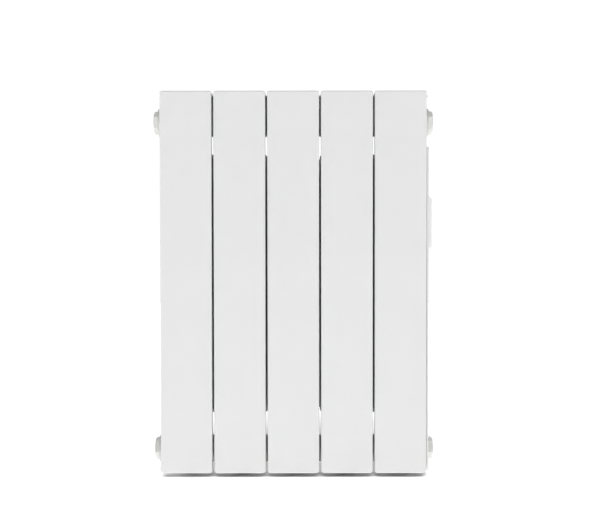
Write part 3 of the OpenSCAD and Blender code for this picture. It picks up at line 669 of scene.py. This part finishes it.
def casting():
    """One whole section: white coat outside, and painted shade between its fins, where the inner parts take a
    darker grey copy of the same coat.
    """
    outer = [front_panel()] + hood() + rear_panel() + outlet_blades() + ejector_marks()
    outer += [header_hub(LOWER_Z), header_hub(UPPER_Z)]
    inner = fin(-FIN_Y, FRONT_FIN_HALF, PANEL_LOW + 7 * MM, TOP_Z - 25 * MM)
    inner += fin(FIN_Y, REAR_FIN_HALF, REAR_PLATE_LOW + 4 * MM, REAR_PLATE_TOP - 4 * MM)
    inner.append(web(FRONT_Y + 1 * MM, -TUBE_R + 2 * MM, PANEL_LOW + 5 * MM, TOP_Z - 5 * MM))
    inner.append(web(TUBE_R - 2 * MM, REAR_Y - 1 * MM, REAR_PLATE_LOW, HOOD_LOW_Z + 3 * MM))
    inner.append(fillet_strip(FRONT_Y + PANEL_T, 0, 2.4 * MM, PANEL_LOW + 6 * MM, TOP_Z - 6 * MM))
    inner.append(cylinder("z", (0, 0, 0), TUBE_R, TUBE_LOW_Z, UPPER_Z, 0.8 * MM, 72))
    inner.append(cast_junction(LOWER_Z, TUBE_LOW_Z + 3 * MM, LOWER_Z + 32 * MM))
    inner.append(cast_junction(UPPER_Z, UPPER_Z - 32 * MM, UPPER_Z + 10 * MM))
    # The fins, webs, tube and junctions take the second slot, the grey painted shade coat
    for mesh in inner:
        mesh.polygons.foreach_set("material_index", [1] * len(mesh.polygons))
    result = merged(outer + inner)
    result.materials.append(PANEL_COAT)
    result.materials.append(PAINTED_SHADE_COAT)
    return result


def build_sections():
    mesh = casting()
    for i, x in enumerate(SECTION_X, start=1):
        piece(f"casting_{i}", mesh, PANEL_COAT, replaces=[f"section_{i}"], at=(x, 0, 0))


build_sections()


# ---------------------------------------------------------------- prints, display and marks

PRINT_T = 0.04 * MM

# Display digits: width, height and thickness of a segment
LARGE_DIGIT = (5 * MM, 9.6 * MM, 1.2 * MM)
SMALL_DIGIT = (1.5 * MM, 2.2 * MM, 0.35 * MM)

# Rocker: its half length, its faces' meeting line above the axis, and its marks' distance from that line
ROCKER_HALF = 7.5 * MM
ROCKER_RISE = 2.5 * MM
MARK_OFFSET = 3.7 * MM


def stroke(points, width):
    """Outline of a line of the given width drawn through points."""
    left, right = [], []
    for i, (a, b) in enumerate(points):
        before = points[max(i - 1, 0)]
        after = points[min(i + 1, len(points) - 1)]
        run = math.hypot(after[0] - before[0], after[1] - before[1])
        across = (-(after[1] - before[1]) / run * width / 2, (after[0] - before[0]) / run * width / 2)
        left.append((a + across[0], b + across[1]))
        right.append((a - across[0], b - across[1]))
    return left + right[::-1]


def ring(a, b, r, width):
    """Two halves of a ring, which meet at its sides."""
    return [stroke(arc(a, b, r, start, start + 180, 20), width) for start in (0, 180)]


def raised(outlines, low, high):
    """Outlines in Y and Z as one thin mesh that faces +X."""
    return merged([solid(prism(outline, "x", low, high)) for outline in outlines])


def key_icons():
    """Outlines of the keys' symbols, about each key's own middle."""
    wave = [(0.45 * math.sin(t * math.pi / 4) * MM, (t - 4) * 0.5 * MM) for t in range(9)]
    return {
        "power": [stroke(arc(0, 0, 1.9 * MM, 125, 415, 30), 0.5 * MM),
                  stroke([(0, 0.4 * MM), (0, 2.5 * MM)], 0.5 * MM)],
        "mode": [stroke([(a + x * MM, b) for a, b in wave], 0.45 * MM) for x in (-1.5, 0, 1.5)],
        "timer": ring(0, 0, 2.2 * MM, 0.45 * MM) + [
            stroke([(0, 0.2 * MM), (0, 1.5 * MM)], 0.4 * MM),
            stroke([(-0.2 * MM, 0), (1.2 * MM, 0)], 0.4 * MM)],
        "minus": [stroke([(-1.9 * MM, 0), (1.9 * MM, 0)], 0.6 * MM)],
        "plus": [[(a * MM, b * MM) for a, b in (
            (0.3, 0.3), (0.3, 1.9), (-0.3, 1.9), (-0.3, 0.3), (-1.9, 0.3), (-1.9, -0.3),
            (-0.3, -0.3), (-0.3, -1.9), (0.3, -1.9), (0.3, -0.3), (1.9, -0.3), (1.9, 0.3))]],
    }


def print_keys():
    """The keys' symbols, each on its own key."""
    for key, outlines in key_icons().items():
        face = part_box(f"key_{key}")[1].x
        middle = centre(f"key_{key}")
        mesh = raised(outlines, -PRINT_T, PRINT_T)
        piece(f"icon_{key}", mesh, PRINT_DARK, body=f"key_{key}_body",
              at=(face, middle.y, middle.z))


SEGMENTS = {"0": "abcdef", "1": "bc", "2": "abged", "3": "abgcd", "4": "fgbc", "5": "afgcd",
            "6": "afgcde", "7": "abc", "8": "abcdefg", "9": "abcdfg"}


def digit(value, y, z, w, h, t):
    """Outlines of a seven segment digit whose lower left corner is at (y, z)."""
    gap = t * 0.16

    def bar(a0, b0, a1, b1):
        flat = b0 == b1
        half = t / 2
        if flat:
            return [(a0 + gap, b0), (a0 + gap + half, b0 + half), (a1 - gap - half, b0 + half),
                    (a1 - gap, b0), (a1 - gap - half, b0 - half), (a0 + gap + half, b0 - half)]
        return [(a0, b0 + gap), (a0 + half, b0 + gap + half), (a0 + half, b1 - gap - half),
                (a0, b1 - gap), (a0 - half, b1 - gap - half), (a0 - half, b0 + gap + half)]

    places = {"a": (0, h, w, h), "g": (0, h / 2, w, h / 2), "d": (0, 0, w, 0), "f": (0, h / 2, 0, h),
              "e": (0, 0, 0, h / 2), "b": (w, h / 2, w, h), "c": (w, 0, w, h / 2)}
    return [[(y + a, z + b) for a, b in bar(*places[s])] for s in SEGMENTS[value]]


def show_display():
    """The lit signs of the display: a set temperature, a degree ring, a time and a heat level."""
    low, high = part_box("lcd_module")
    middle = (low + high) / 2
    base = high.z - 13 * MM
    signs = digit("2", -9.5 * MM, base, *LARGE_DIGIT)
    signs += digit("1", -2 * MM, base, *LARGE_DIGIT)
    signs += ring(6 * MM, base + 8.8 * MM, 0.9 * MM, 0.45 * MM)
    for i in range(4):
        side = 9.4 * MM + i * 1.1 * MM
        signs.append([(side, base), (side + 0.7 * MM, base), (side + 0.7 * MM, base + (1.6 + i) * MM),
                      (side, base + (1.6 + i) * MM)])
    small = low.z + 1.4 * MM
    for i, value in enumerate("0830"):
        pause = 0.8 if i > 1 else 0
        signs += digit(value, (-9.5 + 2.6 * i + pause) * MM, small, *SMALL_DIGIT)
    mesh = raised(signs, -PRINT_T, PRINT_T)
    piece("display_signs", mesh, DISPLAY_LIT, at=(high.x, middle.y, 0))


def mark_rocker():
    """Off and on marks on the two faces of the mains rocker."""
    joint = next(j for j in frame["joints"] if j["name"] == "rocker_tilt")
    rest = math.radians(joint["range_deg"][1] / 2)
    rise = ROCKER_HALF * math.tan(rest)
    axis = Vector(joint["pos_m"])
    bar = raised([stroke([(-1.5 * MM, 0), (1.5 * MM, 0)], 0.5 * MM)], -PRINT_T, PRINT_T)
    loop = raised(ring(0, 0, 1.4 * MM, 0.5 * MM), -PRINT_T, PRINT_T)
    for name, mesh, way in (("rocker_on_mark", bar, 1), ("rocker_off_mark", loop, -1)):
        matrix = (Matrix.Translation(axis) @ Matrix.Rotation(rest, 4, "Y")
                  @ Matrix.Translation((ROCKER_RISE + rise / 2, 0, way * MARK_OFFSET))
                  @ Matrix.Rotation(way * math.atan2(rise, 2 * MARK_OFFSET), 4, "Y"))
        piece(name, merged([mesh], matrix), PRINT_WHITE, body="rocker_body")


def tray_bosses():
    """Bosses on the last tube that the tray's screws go into."""
    low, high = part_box("tray_screws")
    head = 3.2 * MM
    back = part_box("control_tray")[0].x
    bosses = []
    for z in (low.z + head, high.z - head):
        start = SECTION_X[4] + TUBE_R - 1 * MM
        bosses.append(cylinder("x", (0, 0, z), 4.5 * MM, start, back, 0.4 * MM))
        flare = [(0, start), (6.5 * MM, start), (5.2 * MM, start + 1.4 * MM), (4.4 * MM, start + 2.6 * MM),
                 (0, start + 2.6 * MM)]
        bosses.append(solid(revolve(flare, "x", (0, 0, z))))
    piece("tray_bosses", merged(bosses), PANEL_COAT)


print_keys()
show_display()
mark_rocker()
tray_bosses()


# ---------------------------------------------------------------- stage, light and camera

OBJECT_CENTRE_Z = (cad_low.z + cad_high.z) / 2
FLOOR_HALF = 12.0

# World: white studio, and its levels in front, overhead and at both sides
STUDIO_LEVEL = 1.03
FRONT_LEVEL = 0.14
OVERHEAD_LEVEL = 0.5
SIDE_LEVEL = 0.75

# Lights: a wash on the floor, and two tall strips beside the object
FLOOR_WASH = 4.6
WASH_SPREAD = math.radians(34)
WASH_TILT = math.radians(48)
STRIP_SIZE = (0.26, 1.5)
STRIP_X = 2.3
STRIP_Y = -0.8
STRIP_Z = 0.85
STRIP_POWER = 2

# Camera, in metres from the origin and in front of the panels, with its frame shifts as shares of its width
CAMERA_DISTANCE = 1.397
CAMERA_X = 0.011
CAMERA_HEIGHT = 0.292
CAMERA_PITCH = math.radians(-1.35)
CAMERA_ROLL = -0.0011
FOCAL_LENGTH = 56.28
HORIZON_BELOW_CENTRE = 0.048
FRAME_TO_RIGHT = 0.0011667


def build_floor():
    material, nodes, links, shader = node_material("floor")
    coords = object_coords(nodes)
    tone = spread(nodes, links, noise(nodes, links, coords, 2), 0, 1)
    links.new(two_tones(nodes, links, tone, (0.9, 0.9, 0.9), (0.88, 0.88, 0.88)),
              shader.inputs["Base Color"])
    shader.inputs["Roughness"].default_value = 0.6
    mesh = bpy.data.meshes.new("floor")
    side = FLOOR_HALF
    mesh.from_pydata([(-side, -side, 0), (side, -side, 0), (side, side, 0), (-side, side, 0)], [],
                     [(0, 1, 2, 3)])
    mesh.materials.append(material)
    floor = bpy.data.objects.new("floor", mesh)
    bpy.context.scene.collection.objects.link(floor)
    return floor


def blended(nodes, links, source, start, end, low, high):
    """A smooth step from low to high as the source goes from start to end."""
    step = nodes.new("ShaderNodeMapRange")
    step.interpolation_type = "SMOOTHSTEP"
    for name, value in (("From Min", start), ("From Max", end), ("To Min", low), ("To Max", high)):
        step.inputs[name].default_value = value
    links.new(source, step.inputs["Value"])
    return step.outputs["Result"]


def build_world():
    """A white studio, dimmer overhead, and above the horizon at both sides and in front."""
    world = bpy.data.worlds.new("studio")
    world.use_nodes = True
    nodes = world.node_tree.nodes
    links = world.node_tree.links
    split = nodes.new("ShaderNodeSeparateXYZ")
    links.new(nodes.new("ShaderNodeTexCoord").outputs["Generated"], split.inputs["Vector"])
    front = blended(nodes, links, split.outputs["Y"], -0.9, -0.2, FRONT_LEVEL, STUDIO_LEVEL)
    overhead = blended(nodes, links, split.outputs["Z"], 0.35, 0.95, 1.0, OVERHEAD_LEVEL)
    across = nodes.new("ShaderNodeMath")
    across.operation = "ABSOLUTE"
    links.new(split.outputs["X"], across.inputs[0])
    sides = blended(nodes, links, across.outputs["Value"], 0.5, 0.9, 1.0, SIDE_LEVEL)
    level = front
    for factor in (overhead, sides):
        product = nodes.new("ShaderNodeMath")
        product.operation = "MULTIPLY"
        links.new(level, product.inputs[0])
        links.new(factor, product.inputs[1])
        level = product.outputs["Value"]
    height = blended(nodes, links, split.outputs["Z"], 0.1, 0.3, 0.0, 1.0)
    mix = nodes.new("ShaderNodeMix")
    mix.inputs["A"].default_value = STUDIO_LEVEL
    links.new(height, mix.inputs["Factor"])
    links.new(level, mix.inputs["B"])
    links.new(mix.outputs["Result"], nodes["Background"].inputs["Strength"])
    nodes["Background"].inputs["Color"].default_value = (1, 1, 1, 1)
    bpy.context.scene.world = world


def strip_light(name, x):
    """A tall narrow softbox beside the object, a little to the front."""
    data = bpy.data.lights.new(name, "AREA")
    data.shape = "RECTANGLE"
    data.size, data.size_y = STRIP_SIZE
    data.energy = STRIP_POWER
    light = bpy.data.objects.new(name, data)
    light.location = (x, STRIP_Y, STRIP_Z)
    aim = Vector((0, 0, OBJECT_CENTRE_Z)) - light.location
    light.rotation_euler = aim.to_track_quat("-Z", "Y").to_euler()
    bpy.context.scene.collection.objects.link(light)


def build_floor_wash(floor):
    """An overhead wash, tilted from the front, that falls on the floor alone."""
    data = bpy.data.lights.new("floor_wash", "SUN")
    data.energy = FLOOR_WASH
    data.angle = WASH_SPREAD
    wash = bpy.data.objects.new("floor_wash", data)
    wash.rotation_euler = (WASH_TILT, 0, 0)
    bpy.context.scene.collection.objects.link(wash)
    receivers = bpy.data.collections.new("floor_wash_receivers")
    receivers.objects.link(floor)
    wash.light_linking.receiver_collection = receivers


def build_camera():
    data = bpy.data.cameras.new("camera")
    data.sensor_width = 36
    data.lens = FOCAL_LENGTH
    data.shift_x = -FRAME_TO_RIGHT
    data.shift_y = HORIZON_BELOW_CENTRE - math.tan(CAMERA_PITCH) * FOCAL_LENGTH / data.sensor_width
    camera = bpy.data.objects.new("camera", data)
    camera.location = (CAMERA_X, FRONT_Y - CAMERA_DISTANCE, CAMERA_HEIGHT)
    turn = Matrix.Rotation(math.pi / 2 + CAMERA_PITCH, 4, "X") @ Matrix.Rotation(CAMERA_ROLL, 4, "Z")
    camera.rotation_euler = turn.to_euler()
    bpy.context.scene.collection.objects.link(camera)
    bpy.context.scene.camera = camera


build_world()
build_floor_wash(build_floor())
strip_light("strip_left", -STRIP_X)
strip_light("strip_right", STRIP_X)
build_camera()

scene = bpy.context.scene
scene.view_settings.view_transform = "Standard"
scene.view_settings.look = "None"
